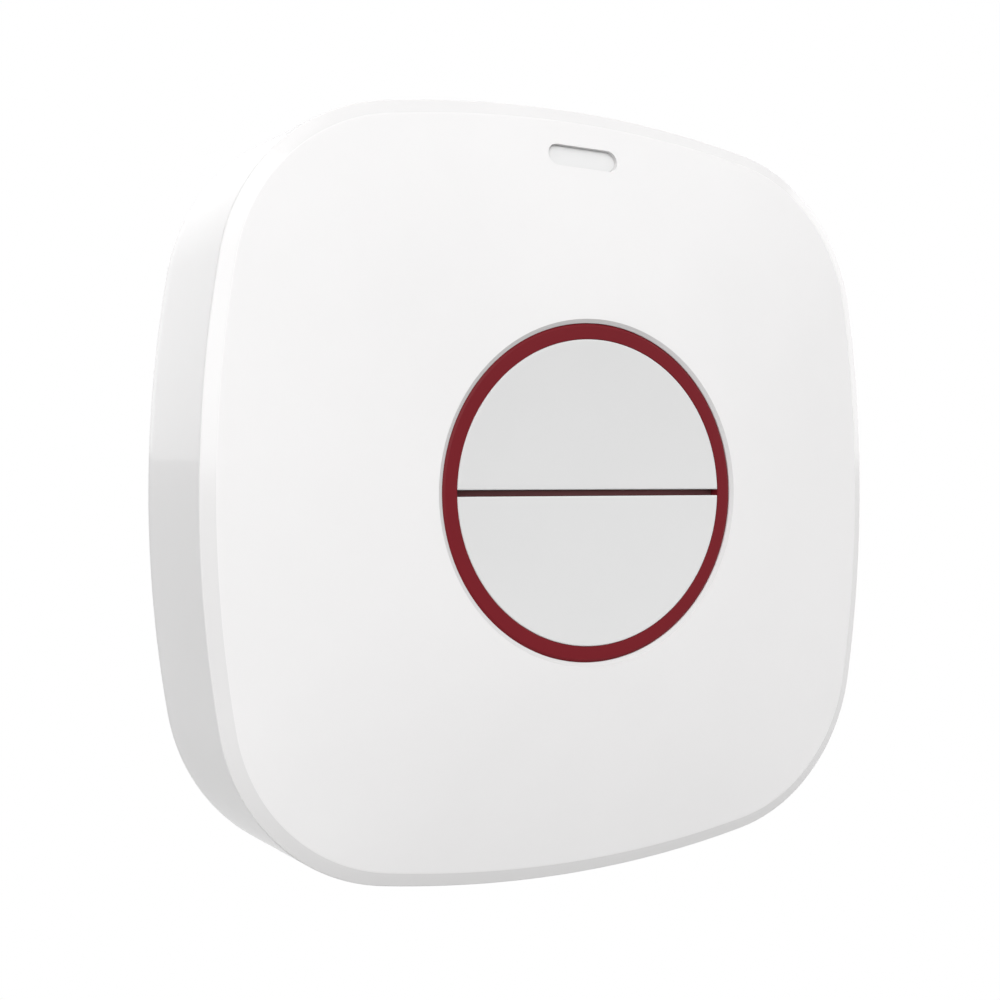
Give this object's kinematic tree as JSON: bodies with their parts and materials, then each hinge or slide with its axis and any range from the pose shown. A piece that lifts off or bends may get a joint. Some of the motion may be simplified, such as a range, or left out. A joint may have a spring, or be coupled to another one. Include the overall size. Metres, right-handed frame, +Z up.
{
  "type": "wireless panic button",
  "caption": "Wall panic button: domed rounded-square white housing, round well with a red light ring, half-moon push keys and an indicator window.",
  "frame": {"origin": "centre of the rear face that lies on the wall", "axes": "+Z up the wall, +X to the right as the user faces the button, +Y into the wall, so the keys face -Y"},
  "size_m": [0.0662, 0.0158, 0.0661],
  "materials": {
    "cover_plastic": "white moulded ABS, satin",
    "panel_plastic": "white moulded ABS, fine matt texture",
    "ring_plastic": "dark red polycarbonate, satin",
    "key_plastic": "pale grey ABS, fine matt texture",
    "lens_plastic": "milky polycarbonate",
    "board": "green solder mask on glass-fibre laminate",
    "steel": "zinc-plated steel",
    "switch_plastic": "black glass-filled nylon",
    "plunger_plastic": "black acetal",
    "lamp_resin": "clear resin over phosphor",
    "cell_steel": "nickel-plated steel can",
    "cradle_plastic": "black PBT",
    "spring_metal": "nickel-plated spring bronze",
    "shield_metal": "tinned steel can",
    "chip_resin": "black moulding compound",
    "crystal_can": "nickel-plated can",
    "wire": "bare copper-alloy wire"
  },
  "bodies": {
    "housing": {"front_cover": "cover_plastic", "rear_panel": "panel_plastic", "light_ring": "ring_plastic", "indicator_lens": "lens_plastic", "circuit_board": "board", "board_screws": "steel", "upper_switch_case": "switch_plastic", "lower_switch_case": "switch_plastic", "tamper_switch_case": "switch_plastic", "tamper_switch_plunger": "plunger_plastic", "ring_leds": "lamp_resin", "indicator_led": "lamp_resin", "coin_cell": "cell_steel", "battery_holder": "cradle_plastic", "positive_contact": "spring_metal", "negative_contact": "spring_metal", "radio_shield": "shield_metal", "microcontroller": "chip_resin", "crystal": "crystal_can", "antenna_wire": "wire"},
    "upper_key": {"upper_key": "key_plastic"},
    "lower_key": {"lower_key": "key_plastic"},
    "upper_plunger": {"upper_switch_plunger": "plunger_plastic"},
    "lower_plunger": {"lower_switch_plunger": "plunger_plastic"}
  },
  "joints": [
    {"name": "upper_key_press", "type": "slide", "parent": "housing", "child": "upper_key", "axis": [0, 1, 0], "range_m": [0, 0.00035], "stiffness_N_per_m": 3000, "springref_m": -0.0002},
    {"name": "lower_key_press", "type": "slide", "parent": "housing", "child": "lower_key", "axis": [0, 1, 0], "range_m": [0, 0.00035], "stiffness_N_per_m": 3000, "springref_m": -0.0002},
    {"name": "upper_plunger_press", "type": "slide", "parent": "housing", "child": "upper_plunger", "axis": [0, 1, 0], "range_m": [0, 0.00035]},
    {"name": "lower_plunger_press", "type": "slide", "parent": "housing", "child": "lower_plunger", "axis": [0, 1, 0], "range_m": [0, 0.00035]}
  ],
  "couplings": [
    {"joint": "upper_plunger_press", "follows": "upper_key_press", "ratio": 1},
    {"joint": "lower_plunger_press", "follows": "lower_key_press", "ratio": 1}
  ]
}
